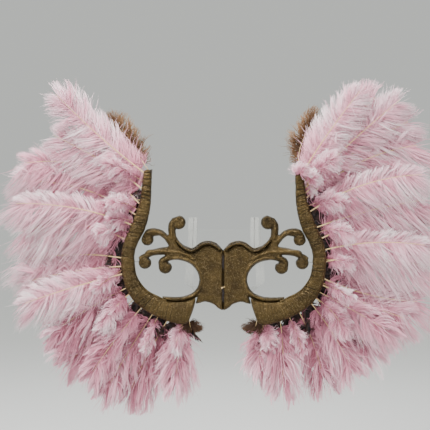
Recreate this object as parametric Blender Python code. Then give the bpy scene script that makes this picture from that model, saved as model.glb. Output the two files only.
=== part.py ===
"""Feather backpiece: a gold padded frame in two mirrored halves, edged with ostrich plumes.

Tables are in millimetres and the model is in metres, +Z up. The wearer-side face of the frame is
y = 0 and +Y points to the wearer's front. z = 0 is the height of the two shoulder notches.
Each table describes one half, with x counted outward from the centre seam, and a side of -1 or
+1 turns it into the left or the right half as seen from behind the wearer.
"""
import math
from collections import namedtuple

import bmesh
import bpy
from mathutils import Vector

MM = 0.001
SEAM = 0.3            # gap between pieces that touch
SIDES = {"left": -1, "right": 1}

# Frame sizes
PANEL_THICK = 26.0    # foam board with its cloth
PANEL_EDGE = 3.0      # rounding of the panel's edges
SCROLL_EDGE = 4.0     # rounding of the scrolls' edges
ROLL_RADIUS = 7.0     # piped roll along the top of the panel
BAND_DEPTH = 44.0     # padded band, front to back
BAND_RINGS = 46       # every second ring is the bottom of a crease
CREASE_DEPTH = 3.4    # deepest crosswise crease in the band

# What is sewn behind the band, measured inward from its outer edge
CASING_NEAR, CASING_FAR = 5.0, 36.0
CASING_THICK = 6.0
ROOT_INSET = 18.0
COQUE_NEAR, COQUE_FAR = 21.5, 33.0
COQUE_THICK = 4.0
COQUE_WIDTH = 15.0    # one coque feather where it leaves its tape
COQUE_LENGTH = 105.0
COQUE_START = 1.3     # the coque feathers begin at this band station

# Plumes
QUILL = 6.0           # quill thickness at the root
VANE = 3.0            # wall of the vane
VANE_SWEEP = 0.35     # how far the barbs lean toward the tip
VANE_CAMBER = 8.0     # how far the vane's edges bend back
BARE_QUILL = 48.0     # quill at the root that has no barbs
RISE_START = 28.0     # a quill lies flat this far
RISE_END = 125.0      # and by this length it has reached its own layer
ROOT_Y = SEAM + CASING_THICK + SEAM + QUILL / 2
LAYERS = {"fore": -38.0, "fluff": -15.0, "front": 11.0, "middle": 34.0, "back": 57.0, "bronze": 80.0}
DISH_START, DISH_BEND = 0.50, 0.34   # the fan of plumes bends toward the viewer past this radius

# Straps
STRAP_WIDTH = 38.0
STRAP_THICK = 1.2
STRAP_LIE = 0.9       # a sewn strap's middle over the panel's wearer-side face

Edge = namedtuple("Edge", "outer_x outer_z inner_x inner_z")
BAND = [  # edges of the band from its top end to its end below the panel
    Edge(353, 343, 316, 347),
    Edge(361, 276, 318, 267),
    Edge(369, 209, 321, 196),
    Edge(388, 151, 332, 129),
    Edge(413, 89, 350, 73),
    Edge(438, 31, 377, 22),
    Edge(452, -22, 393, -27),
    Edge(454, -76, 393, -73),
    Edge(447, -134, 386, -125),
    Edge(429, -191, 361, -171),
    Edge(395, -243, 332, -200),
    Edge(343, -283, 296, -219),
    Edge(284, -314, 251, -239),
    Edge(221, -336, 201, -244),
    Edge(174, -342, 153, -237),
    Edge(147, -327, 113, -216),
]
STRIP_START = 11.5    # band station where the panel's strip under the window begins

HUMP = [(0, -15), (18, 6), (39, 22), (72, 28), (100, 20), (122, 3), (138, -6)]
ARM_TOP = [(138, -6), (172, 6), (198, 27), (210, 49)]
JUNCTION = [(210, 49), (243, 49), (243, -36), (223, -58)]
WINDOW = [(223, -58), (198, -58), (162, -67), (133, -86), (111, -118), (106, -153),
          (118, -186), (140, -206), (180, -221), (233, -222.5), (272, -220)]
PANEL_FOOT = [(123, -252), (104, -249), (79, -242), (43, -253), (25, -269), (0, -282)]
ROLL_PATH = [(10, -14), (24, -1), (45, 11), (72, 16), (96, 9), (118, -8), (140, -18),
             (166, -8), (190, 10), (206, 30)]

# A scroll runs out along its outer edge, round its ball, and back along its inner edge
Scroll = namedtuple("Scroll", "name outer ball_x ball_z ball_radius start_deg end_deg inner")
SCROLLS = [
    Scroll("scroll_crest", [(242.6, 49.3), (245, 80), (242, 105), (226, 128)],
           198, 109, 31, 95, 298, [(212, 66), (210.4, 49.3)]),
    Scroll("scroll_outer", [(243.3, 48), (252, 57), (271, 74), (305, 84), (334, 80), (348, 70),
                            (358, 52)],
           338, 33, 27.5, 0, -208, [(284, 51), (262, 34), (243.3, 7)]),
    Scroll("scroll_middle", [(243.3, 1.8), (284, -4), (323, -15), (352, -33), (371, -50)],
           349, -70, 28.5, 25, -208, [(333, -49), (318, -41), (298, -37), (262, -34.5),
                                      (243.3, -35.6)]),
    Scroll("scroll_inner", [(243.4, -36.4), (262, -40.5), (282, -53), (289, -70)],
           258, -90, 29.5, 8, -214, [(250, -69), (240, -62), (223.4, -58.3)]),
]

StrapPoint = namedtuple("StrapPoint", "x y z turn_deg")
STRAP = [  # from the shoulder notch over the shoulder, under the arm and back to the panel
    StrapPoint(140, 0.9, -42, 0),
    StrapPoint(140, 0.9, -12, 0),
    StrapPoint(140, 14, 42, 0),
    StrapPoint(140, 42, 97, 0),
    StrapPoint(141, 82, 130, 0),
    StrapPoint(143, 130, 118, 0),
    StrapPoint(146, 168, 76, 0),
    StrapPoint(150, 188, 10, 0),
    StrapPoint(156, 186, -60, 0),
    StrapPoint(163, 162, -122, 5),
    StrapPoint(164, 116, -164, 15),
    StrapPoint(150, 68, -188, 40),
    StrapPoint(126, 28, -196, 68),
    StrapPoint(98, 4.5, -198, 86),
    StrapPoint(80, 0.9, -198, 90),
    StrapPoint(52, 0.9, -198, 90),
]

# station is the place of the root along the band, half_x and half_z a point halfway along the
# quill, upper and lower the reach of the barbs on the side of the band's top and of its foot
Plume = namedtuple("Plume", "name layer station half_x half_z tip_x tip_z upper lower")
LEFT_PLUMES = [
    Plume("plume_left_01", "front", 0.42, 562, 503, 780, 724, 108, 104),
    Plume("plume_left_02", "middle", 1.40, 549, 387, 824, 529, 95, 105),
    Plume("plume_left_03", "back", 2.45, 640, 362, 958, 356, 74, 148),
    Plume("plume_left_04", "front", 3.90, 683, 176, 985, 190, 72, 140),
    Plume("plume_left_05", "middle", 5.10, 683, 100, 968, 42, 66, 132),
    Plume("plume_left_06", "back", 6.55, 706, -38, 942, -70, 66, 140),
    Plume("plume_left_07", "front", 7.75, 700, -190, 930, -270, 86, 120),
    Plume("plume_left_08", "middle", 8.80, 638, -298, 816, -426, 92, 110),
    Plume("plume_left_09", "back", 9.75, 584, -412, 724, -548, 100, 100),
    Plume("plume_left_10", "front", 10.60, 514, -456, 610, -610, 96, 96),
    Plume("plume_left_11", "middle", 11.50, 451, -510, 544, -690, 96, 96),
    Plume("plume_left_12", "back", 12.60, 362, -524, 430, -681, 90, 96),
    Plume("plume_left_13", "front", 13.80, 204, -508, 220, -668, 96, 92),
]
RIGHT_PLUMES = [
    Plume("plume_right_01", "front", 0.58, 466, 506, 640, 734, 88, 96),
    Plume("plume_right_02", "middle", 1.40, 572, 470, 812, 676, 96, 100),
    Plume("plume_right_03", "back", 2.00, 631, 387, 911, 450, 78, 138),
    Plume("plume_right_04", "front", 2.95, 635, 280, 920, 316, 68, 124),
    Plume("plume_right_05", "middle", 4.05, 679, 169, 933, 214, 70, 122),
    Plume("plume_right_06", "back", 4.95, 688, 111, 938, 67, 66, 122),
    Plume("plume_right_07", "front", 5.85, 688, 22, 938, 0, 62, 130),
    Plume("plume_right_08", "middle", 6.85, 688, -47, 938, -102, 66, 130),
    Plume("plume_right_09", "back", 8.00, 671, -218, 920, -236, 86, 122),
    Plume("plume_right_10", "front", 9.10, 617, -303, 786, -405, 96, 112),
    Plume("plume_right_11", "middle", 10.05, 510, -424, 584, -592, 100, 98),
    Plume("plume_right_12", "back", 11.10, 414, -468, 448, -641, 96, 96),
    Plume("plume_right_13", "front", 12.45, 266, -503, 252, -676, 96, 96),
    Plume("plume_right_14", "middle", 13.80, 166, -458, 146, -578, 94, 80),
]
LEFT_FLUFFS = [
    Plume("fluff_left_1", "fluff", 0.92, 458, 352, 560, 388, 62, 62),
    Plume("fluff_left_2", "fluff", 1.92, 470, 200, 560, 168, 60, 52),
    Plume("fluff_left_3", "fore", 4.50, 504, 80, 594, 26, 50, 66),
    Plume("fluff_left_4", "fluff", 9.28, 500, -290, 560, -388, 66, 60),
]
RIGHT_FLUFFS = [
    Plume("fluff_right_1", "fluff", 1.00, 440, 362, 530, 392, 64, 62),
    Plume("fluff_right_2", "fluff", 2.48, 474, 204, 562, 172, 60, 52),
    Plume("fluff_right_3", "fore", 4.50, 506, 78, 594, 28, 50, 66),
    Plume("fluff_right_4", "fluff", 9.58, 494, -300, 546, -400, 66, 60),
]
LEFT_BRONZE = [
    Plume("bronze_left_top", "bronze", 0.04, 424, 468, 535, 610, 62, 60),
    Plume("bronze_left_low", "back", 14.55, 146, -366, 136, -402, 40, 40),
]
RIGHT_BRONZE = [
    Plume("bronze_right_top", "bronze", 0.04, 352, 470, 442, 616, 60, 34),
    Plume("bronze_right_low", "back", 14.55, 140, -366, 128, -406, 40, 40),
]

VaneStep = namedtuple("VaneStep", "along width")
VANE_STEPS = [  # share of the vane's length, and share of the barbs' full reach with its clumps
    VaneStep(0.00, 0.0),
    VaneStep(0.07, 0.32),
    VaneStep(0.19, 0.74),
    VaneStep(0.34, 0.95),
    VaneStep(0.48, 0.88),
    VaneStep(0.64, 1.00),
    VaneStep(0.80, 0.86),
    VaneStep(0.93, 0.62),
    VaneStep(1.00, 0.22),
]
ACROSS = [-1.0, -0.5, 0.0, 0.5, 1.0]


# Helpers

def clear_scene():
    for thing in list(bpy.data.objects):
        bpy.data.objects.remove(thing, do_unlink=True)


def smooth_through(points, place):
    """A point on the smooth curve through the points, place counted in points."""
    last = len(points) - 1
    first = min(max(int(math.floor(place)), 0), last - 1)
    part = place - first
    before = Vector(points[max(first - 1, 0)])
    start = Vector(points[first])
    end = Vector(points[first + 1])
    after = Vector(points[min(first + 2, last)])
    leave = (end - before) / 2
    arrive = (after - start) / 2
    bend = 3 * (end - start) - 2 * leave - arrive
    close = 2 * (start - end) + leave + arrive
    return start + leave * part + bend * part ** 2 + close * part ** 3


def smooth_run(points, steps):
    """The smooth curve through the points, as steps points for each stretch."""
    count = (len(points) - 1) * steps
    return [smooth_through(points, index / steps) for index in range(count + 1)]


def band_edge(station, which):
    """A point of the band's outer or inner edge in the plane of the frame."""
    if which == "outer":
        points = [(row.outer_x, row.outer_z) for row in BAND]
    else:
        points = [(row.inner_x, row.inner_z) for row in BAND]
    return smooth_through(points, station)


def band_inset(station, inset):
    """A point the given distance in from the band's outer edge."""
    outer = band_edge(station, "outer")
    inner = band_edge(station, "inner")
    return outer + (inner - outer).normalized() * inset


def make_material(name, colour, roughness, metallic):
    material = bpy.data.materials.new(name)
    material.use_nodes = True
    shader = material.node_tree.nodes["Principled BSDF"]
    shader.inputs["Base Color"].default_value = (*colour, 1.0)
    shader.inputs["Roughness"].default_value = roughness
    shader.inputs["Metallic"].default_value = metallic
    return material


def finish_object(thing, material):
    thing.data.materials.append(material)
    COLLECTION.objects.link(thing)
    return thing


def skin(name, rings, material, paired=False):
    """A closed body through rings of equal count.

    Each ring lists its front points and then its back points in the opposite order. A paired
    body is a thin wall, so its front and back share their diagonals and its ends close in pairs.
    """
    mesh = bpy.data.meshes.new(name)
    work = bmesh.new()
    rows = [[work.verts.new(Vector(point) * MM) for point in ring] for ring in rings]
    count = len(rings[0])
    half = count // 2
    for near, far in zip(rows, rows[1:]):
        for index in range(count):
            following = (index + 1) % count
            corners = [near[index], near[following], far[following], far[index]]
            if paired and index >= half:
                corners = corners[1:] + corners[:1]
            work.faces.new((corners[0], corners[1], corners[2]))
            work.faces.new((corners[0], corners[2], corners[3]))
    for row in (rows[0], rows[-1]):
        if paired:
            for index in range(half - 1):
                work.faces.new((row[index], row[index + 1], row[count - 2 - index],
                                row[count - 1 - index]))
        else:
            work.faces.new(row)
    bmesh.ops.recalc_face_normals(work, faces=work.faces)
    bmesh.ops.triangulate(work, faces=work.faces)
    work.to_mesh(mesh)
    work.free()
    mesh.shade_smooth()
    return finish_object(bpy.data.objects.new(name, mesh), material)


def plate(name, outline, edge, side, material):
    """A flat board with rounded edges, its wearer-side face at y = 0."""
    curve = bpy.data.curves.new(name, "CURVE")
    curve.dimensions = "2D"
    curve.fill_mode = "BOTH"
    curve.bevel_depth = edge * MM
    curve.bevel_resolution = 0
    curve.offset = -edge * MM
    curve.extrude = (PANEL_THICK / 2 - edge) * MM
    spline = curve.splines.new("POLY")
    points = outline if side > 0 else outline[::-1]
    spline.points.add(len(points) - 1)
    for spot, (x, z) in zip(spline.points, points):
        spot.co = (side * x * MM, z * MM, 0.0, 1.0)
    spline.use_cyclic_u = True
    thing = bpy.data.objects.new(name, curve)
    thing.rotation_euler = (math.pi / 2, 0.0, 0.0)
    thing.location = (0.0, -PANEL_THICK / 2 * MM, 0.0)
    return finish_object(thing, material)


# Frame

def band_stations():
    """Stations of the band's rings, evenly spaced."""
    return [(len(BAND) - 1) * index / (BAND_RINGS - 1) for index in range(BAND_RINGS)]


def panel_outline():
    """Outline of one half: seam, hump, arm, window, strip under the window, and foot."""
    strip = []
    for station in band_stations():
        if station >= STRIP_START:
            inner = band_edge(station, "inner")
            away = (inner - band_edge(station, "outer")).normalized()
            strip.append(inner + away * (2 * SEAM))
    corner = band_edge(len(BAND) - 1, "inner")
    strip[-1] = strip[-1] + Vector((-2 * SEAM, 0.0))
    outline = smooth_run(HUMP, 2) + smooth_run(ARM_TOP, 2)[1:]
    outline += [Vector(point) for point in JUNCTION[1:-1]]
    outline += smooth_run(WINDOW, 2) + strip
    outline += smooth_run(PANEL_FOOT, 2)
    seam_x = SEAM / 2
    return [(max(point.x, seam_x), point.y) for point in outline if point != corner]


def add_panel(label, side):
    plate("panel_" + label, panel_outline(), PANEL_EDGE, side, GOLD)


def scroll_outline(scroll):
    arc_steps = 10
    arc = []
    for index in range(arc_steps + 1):
        share = index / arc_steps
        angle = math.radians(scroll.start_deg + (scroll.end_deg - scroll.start_deg) * share)
        arc.append((scroll.ball_x + scroll.ball_radius * math.cos(angle),
                    scroll.ball_z + scroll.ball_radius * math.sin(angle)))
    outer = [tuple(point) for point in smooth_run(scroll.outer, 2)]
    inner = [tuple(point) for point in smooth_run(scroll.inner, 2)]
    return outer + arc + inner


def add_scrolls(label, side):
    for scroll in SCROLLS:
        plate(scroll.name + "_" + label, scroll_outline(scroll), SCROLL_EDGE, side, GOLD)


def add_roll(label, side):
    """The piped roll on the panel's face, along the hump and the arm."""
    curve = bpy.data.curves.new("roll_" + label, "CURVE")
    curve.dimensions = "3D"
    curve.bevel_depth = ROLL_RADIUS * MM
    curve.bevel_resolution = 2
    curve.use_fill_caps = True
    spline = curve.splines.new("POLY")
    path = smooth_run(ROLL_PATH, 2)
    spline.points.add(len(path) - 1)
    height = -(PANEL_THICK + SEAM + ROLL_RADIUS)
    for spot, point in zip(spline.points, path):
        spot.co = (side * point.x * MM, height * MM, point.y * MM, 1.0)
    finish_object(bpy.data.objects.new("roll_" + label, curve), GOLD)


def crease(index):
    """Depth of the crosswise crease at a ring: none on the ridges, uneven in the valleys."""
    if index % 2 == 0:
        return 0.0
    return CREASE_DEPTH * (0.62 + 0.38 * math.sin(2.4 * index))


def add_band(label, side):
    """The padded band: oval sections that pull in at the creases and close at both ends."""
    corners = 12
    end_scale = {0: 0.55, BAND_RINGS - 1: 0.86}
    rings = []
    for index, station in enumerate(band_stations()):
        outer = band_edge(station, "outer")
        inner = band_edge(station, "inner")
        middle = (outer + inner) / 2
        reach = (outer - inner) / 2
        scale = end_scale.get(index, 1.0)
        wide = scale * (1.0 - 0.35 * crease(index) / reach.length)
        deep = scale * (BAND_DEPTH / 2 - crease(index))
        ring = []
        for corner in range(corners):
            angle = 2 * math.pi * (corner + 0.5) / corners
            along = math.copysign(abs(math.cos(angle)) ** 0.72, math.cos(angle)) * 1.025
            out = math.copysign(abs(math.sin(angle)) ** 0.72, math.sin(angle)) * 1.025
            spot = middle + reach * wide * min(max(along, -1.0), 1.0)
            depth = -BAND_DEPTH / 2 + deep * min(max(out, -1.0), 1.0)
            ring.append((side * spot.x, depth, spot.y))
        rings.append(ring)
    skin("band_" + label, rings, GOLD)


def add_casing(label, side):
    """The tape behind the band that the quills are sewn to."""
    rings = []
    for station in [0.02 + 14.6 * index / 28 for index in range(29)]:
        near = band_inset(station, CASING_NEAR)
        far = band_inset(station, CASING_FAR)
        front, back = SEAM, SEAM + CASING_THICK
        rings.append([(side * near.x, front, near.y), (side * far.x, front, far.y),
                      (side * far.x, back, far.y), (side * near.x, back, near.y)])
    skin("casing_" + label, rings, DARK)


# Feathers

def dish(x, z):
    """How far the fan bends toward the viewer at a place in the plane, in millimetres."""
    radius = math.hypot(x, z) * MM
    return -1000.0 * DISH_BEND * max(0.0, radius - DISH_START) ** 2


def ease(share):
    share = min(max(share, 0.0), 1.0)
    return share * share * (3 - 2 * share)


def quill_point(plume, along):
    """A point and a direction on the quill in the plane, along being 0 to 1."""
    root = band_inset(plume.station, ROOT_INSET)
    half = Vector((plume.half_x, plume.half_z))
    tip = Vector((plume.tip_x, plume.tip_z))
    control = 2 * half - (root + tip) / 2
    point = root * (1 - along) ** 2 + control * 2 * along * (1 - along) + tip * along ** 2
    direction = (control - root) * (1 - along) + (tip - control) * along
    return point, direction.normalized()


def quill_length(plume):
    tip = Vector((plume.tip_x, plume.tip_z))
    return (tip - band_inset(plume.station, ROOT_INSET)).length


def vane_ring(plume, side, along, width):
    """A ring of the plume at a share of its quill, its barbs at a share of their reach."""
    root = band_inset(plume.station, ROOT_INSET)
    point, direction = quill_point(plume, along)
    upward = Vector((-direction.y, direction.x))
    rise_end = min(RISE_END, 0.75 * quill_length(plume))
    risen = ease(((point - root).length - RISE_START) / (rise_end - RISE_START))
    layer = ROOT_Y + (LAYERS[plume.layer] - ROOT_Y) * risen
    quill = QUILL * (1 - 0.45 * along)
    front, back = [], []
    for across in ACROSS:
        reach = plume.upper if across > 0 else plume.lower
        wide = max(reach * width, quill / 2)
        spot = point + upward * across * wide + direction * abs(across) * wide * VANE_SWEEP
        wall = quill if across == 0 or width == 0 else VANE
        depth = layer + dish(spot.x, spot.y) + VANE_CAMBER * across ** 2 * width
        front.append((side * spot.x, depth - wall / 2, spot.y))
        back.append((side * spot.x, depth + wall / 2, spot.y))
    return front + back[::-1]


def add_plume(plume, side, material):
    """One plume as a thin blade: the bare quill, then the vane with its clumps of barbs."""
    bare = BARE_QUILL / quill_length(plume)
    rings = [vane_ring(plume, side, 0.0, 0.0)]
    if LAYERS[plume.layer] < 0:
        rings.append(vane_ring(plume, side, bare * RISE_START / BARE_QUILL, 0.0))
    for step in VANE_STEPS:
        rings.append(vane_ring(plume, side, bare + (1 - bare) * step.along, step.width))
    skin(plume.name, rings, material, paired=True)


def coque_places(plumes):
    """Stations between the quills where coque feathers are sewn."""
    roots = sorted(plume.station for plume in plumes if plume.station > COQUE_START)
    places = []
    for low, high in zip(roots, roots[1:]):
        gap = (band_inset(high, ROOT_INSET) - band_inset(low, ROOT_INSET)).length
        count = int(gap / 27.0)
        for index in range(count):
            places.append(low + (high - low) * (index + 1) / (count + 1))
    return places


def coque_point(station, share, across, side, depth, slope):
    """A point of a coque feather, share of its length out from the tape."""
    base = band_inset(station, COQUE_NEAR)
    inner = band_inset(station, COQUE_FAR)
    outward = (base - inner).normalized()
    lengthwise = Vector((outward.y, -outward.x))
    lean = 0.12 * math.sin(7.0 * station)
    length = COQUE_LENGTH * (0.82 + 0.18 * math.cos(11.0 * station))
    spot = base + (outward + lengthwise * lean * share) * length * share + lengthwise * across
    return Vector((side * spot.x, depth + slope * length * share, spot.y)) * MM


def add_coque_row(label, side, plumes):
    """Coque feathers on a tape: each is drawn out of the tape's outer side between two quills."""
    mesh = bpy.data.meshes.new("coque_row_" + label)
    work = bmesh.new()
    front = SEAM + CASING_THICK + SEAM
    back = front + COQUE_THICK
    unit = (band_edge(8, "outer") - band_edge(7, "outer")).length
    half = COQUE_WIDTH / 2 / unit
    places = coque_places(plumes)
    stations = [COQUE_START]
    for place in places:
        stations += [place - half, place + half]
    stations.append(14.4)
    rows = []
    for station in stations:
        near = band_inset(station, COQUE_NEAR)
        far = band_inset(station, COQUE_FAR)
        spots = [(near, front), (near, back), (far, back), (far, front)]
        rows.append([work.verts.new(Vector((side * spot.x, depth, spot.y)) * MM)
                     for spot, depth in spots])
    for index, (low, high) in enumerate(zip(rows, rows[1:])):
        for corner in range(1, 4):
            following = (corner + 1) % 4
            work.faces.new((low[corner], low[following], high[following], high[corner]))
        if index % 2 == 0:
            work.faces.new((low[0], low[1], high[1], high[0]))
            continue
        place = places[index // 2]
        slope = 0.66 if index // 2 % 2 else 0.84
        base = [low[0], low[1], high[1], high[0]]
        for share, width in ((0.3, 0.9), (0.68, 1.15), (1.0, 0.16)):
            across = COQUE_WIDTH / 2 * width
            spots = [(-across, front), (-across, back), (across, back), (across, front)]
            ring = [work.verts.new(coque_point(place, share, wide, side, depth, slope))
                    for wide, depth in spots]
            for corner in range(4):
                following = (corner + 1) % 4
                work.faces.new((base[corner], base[following], ring[following], ring[corner]))
            base = ring
        work.faces.new(base)
    work.faces.new(rows[0])
    work.faces.new(rows[-1])
    bmesh.ops.recalc_face_normals(work, faces=work.faces)
    bmesh.ops.triangulate(work, faces=work.faces)
    work.to_mesh(mesh)
    work.free()
    mesh.shade_smooth()
    finish_object(bpy.data.objects.new("coque_row_" + label, mesh), COQUE)


# Straps

def add_strap(label, side):
    """A worn shoulder strap: a flat band that turns from across the back to along the panel."""
    path = [(row.x, row.y, row.z) for row in STRAP]
    turns = [(row.turn_deg, 0.0) for row in STRAP]
    steps = 2
    count = (len(STRAP) - 1) * steps
    rings = []
    for index in range(count + 1):
        place = index / steps
        point = smooth_through(path, place)
        point.y = max(point.y, STRAP_LIE)
        ahead = smooth_through(path, min(place + 0.05, len(STRAP) - 1))
        behind = smooth_through(path, max(place - 0.05, 0))
        along = (ahead - behind).normalized()
        turn = math.radians(smooth_through(turns, place).x)
        across = Vector((math.cos(turn), 0.0, math.sin(turn)))
        across = (across - along * across.dot(along)).normalized()
        out = along.cross(across).normalized()
        wide = across * STRAP_WIDTH / 2
        thick = out * STRAP_THICK / 2
        corners = [point - wide - thick, point + wide - thick,
                   point + wide + thick, point - wide + thick]
        rings.append([(side * spot.x, spot.y, spot.z) for spot in corners])
    skin("strap_" + label, rings, SHEER, paired=True)


def add_half(label, side, plumes, fluffs, bronze):
    add_panel(label, side)
    add_scrolls(label, side)
    add_roll(label, side)
    add_band(label, side)
    add_casing(label, side)
    add_coque_row(label, side, plumes + fluffs + bronze)
    add_strap(label, side)
    for plume in plumes + fluffs:
        add_plume(plume, side, PINK)
    for plume in bronze:
        add_plume(plume, side, BRONZE)


clear_scene()
COLLECTION = bpy.data.collections.new("feather_backpiece")
bpy.context.scene.collection.children.link(COLLECTION)
GOLD = make_material("gold_cloth", (0.30, 0.19, 0.07), 0.45, 0.35)
PINK = make_material("pink_plume", (0.86, 0.52, 0.58), 0.85, 0.0)
BRONZE = make_material("bronze_feather", (0.22, 0.10, 0.04), 0.75, 0.0)
COQUE = make_material("coque_feather", (0.03, 0.02, 0.02), 0.55, 0.0)
DARK = make_material("casing_tape", (0.05, 0.03, 0.02), 0.85, 0.0)
SHEER = make_material("sheer_strap", (0.72, 0.70, 0.64), 0.4, 0.0)
add_half("left", SIDES["left"], LEFT_PLUMES, LEFT_FLUFFS, LEFT_BRONZE)
add_half("right", SIDES["right"], RIGHT_PLUMES, RIGHT_FLUFFS, RIGHT_BRONZE)
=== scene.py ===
import math
from collections import namedtuple

import bmesh
import bpy
import numpy as np
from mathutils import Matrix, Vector, noise
from mathutils.kdtree import KDTree


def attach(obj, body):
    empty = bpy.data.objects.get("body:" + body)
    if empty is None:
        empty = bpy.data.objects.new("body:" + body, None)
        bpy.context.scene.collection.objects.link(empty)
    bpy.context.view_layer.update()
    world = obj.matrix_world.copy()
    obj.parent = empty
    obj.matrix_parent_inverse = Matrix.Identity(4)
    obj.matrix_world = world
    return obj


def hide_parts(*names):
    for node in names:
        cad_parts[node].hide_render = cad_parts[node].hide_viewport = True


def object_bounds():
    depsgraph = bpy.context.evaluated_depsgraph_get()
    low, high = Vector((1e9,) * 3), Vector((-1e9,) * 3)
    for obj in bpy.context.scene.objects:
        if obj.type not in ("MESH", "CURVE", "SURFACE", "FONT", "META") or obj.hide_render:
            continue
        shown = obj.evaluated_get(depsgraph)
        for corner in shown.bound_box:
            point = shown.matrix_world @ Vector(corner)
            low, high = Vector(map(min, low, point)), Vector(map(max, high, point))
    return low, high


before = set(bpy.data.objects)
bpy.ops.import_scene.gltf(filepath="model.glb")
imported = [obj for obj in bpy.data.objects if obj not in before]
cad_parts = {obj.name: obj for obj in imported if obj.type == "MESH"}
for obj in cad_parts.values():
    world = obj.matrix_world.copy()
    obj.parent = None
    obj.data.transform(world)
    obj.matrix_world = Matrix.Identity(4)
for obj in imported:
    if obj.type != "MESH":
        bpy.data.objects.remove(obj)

CAD_BOX = [list(corner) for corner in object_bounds()]

# Sizes of the model in millimetres, as the solids have them
MM = 0.001
SIDES = {"left": -1, "right": 1}
PANEL_THICK = 26.0
BAND_DEPTH = 44.0
BAND_RINGS = 46
CREASE_DEPTH = 3.4
ROOT_INSET = 18.0
COQUE_NEAR, COQUE_FAR = 21.5, 33.0
COQUE_LENGTH = 105.0
COQUE_START = 1.3
BARB_START = 42.0
RISE_START = 28.0
RISE_END = 125.0
ROOT_Y = 9.6
LAYERS = {"over": -62.0, "fore": -38.0, "fluff": -15.0, "front": 11.0, "middle": 34.0,
          "back": 57.0, "bronze": 80.0}
DISH_START, DISH_BEND = 0.50, 0.34
STRAP_WIDTH = 38.0
STRAP_LIFT = 0.9
HANGING_FROM = 8.5  # stations past this one carry plumes that hang down
THICK_FROM, THICK_REACH = 12.0, 1.22

Edge = namedtuple("Edge", "outer_x outer_z inner_x inner_z")
BAND = [  # edges of the band from its top end to its end below the panel
    Edge(353, 343, 316, 347),
    Edge(361, 276, 318, 267),
    Edge(369, 209, 321, 196),
    Edge(388, 151, 332, 129),
    Edge(413, 89, 350, 73),
    Edge(438, 31, 377, 22),
    Edge(452, -22, 393, -27),
    Edge(454, -76, 393, -73),
    Edge(447, -134, 386, -125),
    Edge(429, -191, 361, -171),
    Edge(395, -243, 332, -200),
    Edge(343, -283, 296, -219),
    Edge(284, -314, 251, -239),
    Edge(221, -336, 201, -244),
    Edge(174, -342, 153, -237),
    Edge(147, -327, 113, -216),
]

StrapPoint = namedtuple("StrapPoint", "x y z turn_deg")
STRAP = [
    StrapPoint(140, 0.9, -42, 0),
    StrapPoint(140, 0.9, -12, 0),
    StrapPoint(140, 14, 42, 0),
    StrapPoint(140, 42, 97, 0),
    StrapPoint(141, 82, 130, 0),
    StrapPoint(143, 130, 118, 0),
    StrapPoint(146, 168, 76, 0),
    StrapPoint(150, 188, 10, 0),
    StrapPoint(156, 186, -60, 0),
    StrapPoint(163, 162, -122, 5),
    StrapPoint(164, 116, -164, 15),
    StrapPoint(150, 68, -188, 40),
    StrapPoint(126, 28, -196, 68),
    StrapPoint(98, 4.5, -198, 86),
    StrapPoint(80, 0.9, -198, 90),
    StrapPoint(52, 0.9, -198, 90),
]

Plume = namedtuple("Plume", "name layer station half_x half_z tip_x tip_z upper lower")
LEFT_PLUMES = [
    Plume("plume_left_01", "front", 0.42, 562, 503, 780, 724, 108, 104),
    Plume("plume_left_02", "middle", 1.40, 549, 387, 824, 529, 95, 105),
    Plume("plume_left_03", "back", 2.45, 640, 362, 958, 356, 74, 148),
    Plume("plume_left_04", "front", 3.90, 683, 176, 985, 190, 72, 140),
    Plume("plume_left_05", "middle", 5.10, 683, 100, 968, 42, 66, 132),
    Plume("plume_left_06", "back", 6.55, 706, -38, 942, -70, 66, 140),
    Plume("plume_left_07", "front", 7.75, 700, -190, 930, -270, 86, 120),
    Plume("plume_left_08", "middle", 8.80, 638, -298, 816, -426, 92, 110),
    Plume("plume_left_09", "back", 9.75, 584, -412, 724, -548, 100, 100),
    Plume("plume_left_10", "front", 10.60, 514, -456, 610, -610, 96, 96),
    Plume("plume_left_11", "middle", 11.50, 451, -510, 544, -690, 96, 96),
    Plume("plume_left_12", "back", 12.60, 362, -524, 430, -681, 90, 96),
    Plume("plume_left_13", "front", 13.80, 204, -508, 220, -668, 96, 92),
]
RIGHT_PLUMES = [
    Plume("plume_right_01", "front", 0.58, 466, 506, 640, 734, 88, 96),
    Plume("plume_right_02", "middle", 1.40, 572, 470, 812, 676, 96, 100),
    Plume("plume_right_03", "back", 2.00, 631, 387, 911, 450, 78, 138),
    Plume("plume_right_04", "front", 2.95, 635, 280, 920, 316, 68, 124),
    Plume("plume_right_05", "middle", 4.05, 679, 169, 933, 214, 70, 122),
    Plume("plume_right_06", "back", 4.95, 688, 111, 938, 67, 66, 122),
    Plume("plume_right_07", "front", 5.85, 688, 22, 938, 0, 62, 130),
    Plume("plume_right_08", "middle", 6.85, 688, -47, 938, -102, 66, 130),
    Plume("plume_right_09", "back", 8.00, 671, -218, 920, -236, 86, 122),
    Plume("plume_right_10", "front", 9.10, 617, -303, 786, -405, 96, 112),
    Plume("plume_right_11", "middle", 10.05, 510, -424, 584, -592, 100, 98),
    Plume("plume_right_12", "back", 11.10, 414, -468, 448, -641, 96, 96),
    Plume("plume_right_13", "front", 12.45, 266, -503, 252, -676, 96, 96),
    Plume("plume_right_14", "middle", 13.80, 166, -458, 146, -578, 94, 80),
]
LEFT_FLUFFS = [
    Plume("fluff_left_1", "fluff", 0.92, 458, 352, 560, 388, 62, 62),
    Plume("fluff_left_2", "fluff", 1.92, 470, 200, 560, 168, 60, 52),
    Plume("fluff_left_3", "fore", 4.50, 504, 80, 594, 26, 50, 66),
    Plume("fluff_left_4", "fluff", 9.28, 500, -290, 560, -388, 66, 60),
]
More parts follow.
